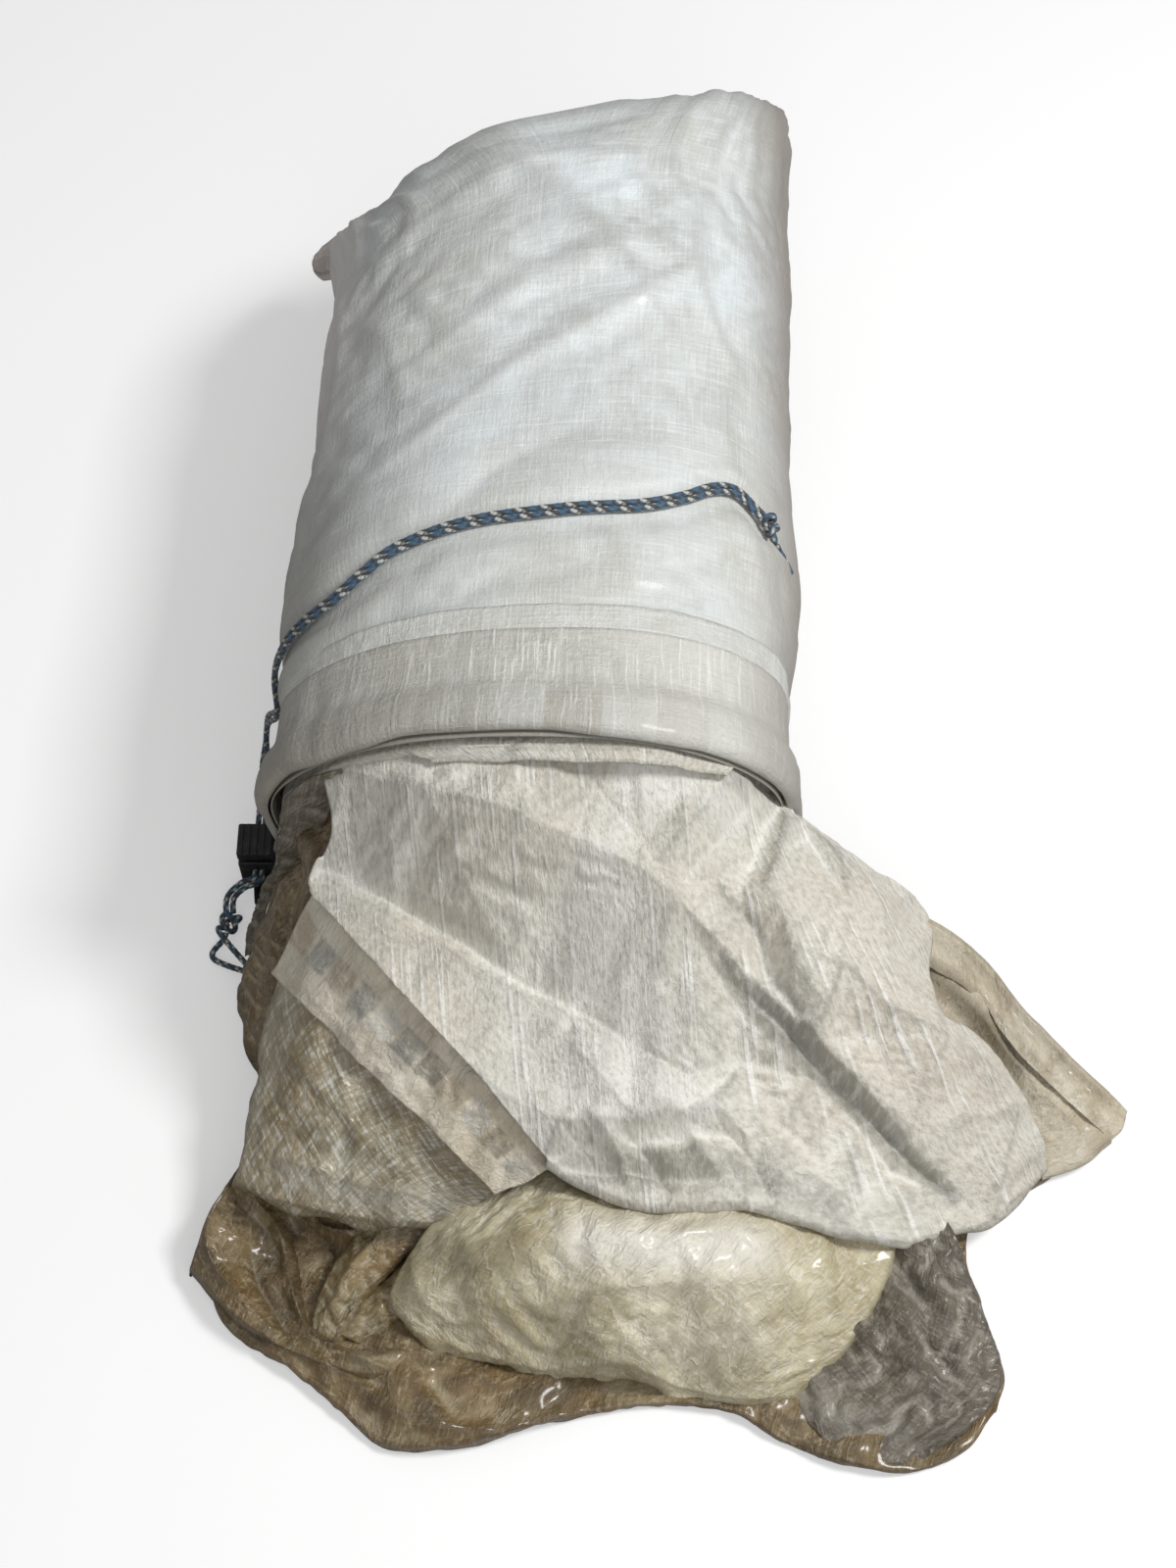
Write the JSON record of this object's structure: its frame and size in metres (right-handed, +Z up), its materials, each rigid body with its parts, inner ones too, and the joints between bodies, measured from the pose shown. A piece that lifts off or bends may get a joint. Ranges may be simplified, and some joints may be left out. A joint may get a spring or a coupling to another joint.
{
  "type": "backpacking tent in its stuff sack",
  "caption": "Lightweight composite-fabric tent half pulled out of its drawcord stuff sack, spilling in crumpled folds, with a sprung cord lock.",
  "frame": {"origin": "centre of the sack's flat underside, on the surface that the object lies on", "axes": "+Z up, +Y along the sack from its mouth towards its closed end, +X to the right as seen looking in through the mouth"},
  "size_m": [0.3103, 0.5061, 0.1449],
  "materials": {
    "sack_laminate": "translucent off-white composite laminate with a fine fibre grid",
    "sack_hem": "doubled laminate, warmer where the layers overlap",
    "bond_tape": "bonded seam tape, satin",
    "drawcord": "braided black, blue and white cord",
    "lock_plastic": "moulded matt black",
    "spring_steel": "bright spring wire",
    "canopy_cloth": "warm grey composite cloth, crumpled like paper, with fine fibre streaks",
    "mesh_cloth": "dark insect mesh seen through thin laminate",
    "floor_laminate": "glossy olive-yellow laminate with bright creases",
    "clear_laminate": "translucent cream laminate, satin",
    "tan_laminate": "translucent tan laminate with a crossed fibre grid",
    "brown_laminate": "layered brown laminate, glossy creases"
  },
  "bodies": {
    "sack": {"sack_body": "sack_laminate", "hem_sleeve": "sack_hem", "hem_bond_tape": "bond_tape", "side_seam_tape": "bond_tape", "end_seam_tape": "bond_tape", "sack_ear_left": "sack_hem", "sack_ear_right": "sack_hem", "drawcord_in_hem": "drawcord", "drawcord_lead_upper": "drawcord", "drawcord_lead_lower": "drawcord", "gather_knot": "drawcord", "drawcord_strand_right": "drawcord", "drawcord_strand_left": "drawcord", "end_knot": "drawcord", "drawcord_tail": "drawcord"},
    "tent": {"stowed_canopy": "canopy_cloth", "stowed_mesh": "mesh_cloth", "stowed_floor": "floor_laminate", "canopy_main": "canopy_cloth", "canopy_side_fan": "canopy_cloth", "canopy_tuck": "canopy_cloth", "side_flap": "clear_laminate", "side_flap_hem": "clear_laminate", "canopy_seam_band": "clear_laminate", "corner_panel": "tan_laminate", "left_gusset": "brown_laminate", "corner_swirl": "brown_laminate", "floor_lobe": "floor_laminate", "mesh_lobe": "mesh_cloth", "ground_layer": "brown_laminate"},
    "cord_lock": {"lock_body": "lock_plastic", "lock_spring": "spring_steel"},
    "lock_button": {"lock_button": "lock_plastic"}
  },
  "joints": [
    {"name": "tent_pull", "type": "slide", "parent": "sack", "child": "tent", "axis": [0, -1, 0], "range_m": [0, 0.29]},
    {"name": "lock_slide", "type": "slide", "parent": "sack", "child": "cord_lock", "axis": [0, 1, 0], "range_m": [0, 0.016]},
    {"name": "button_press", "type": "slide", "parent": "cord_lock", "child": "lock_button", "axis": [0, 0, -1], "range_m": [0, 0.0022], "stiffness_N_per_m": 800, "springref_m": -0.003, "deforming": ["lock_spring"]}
  ]
}
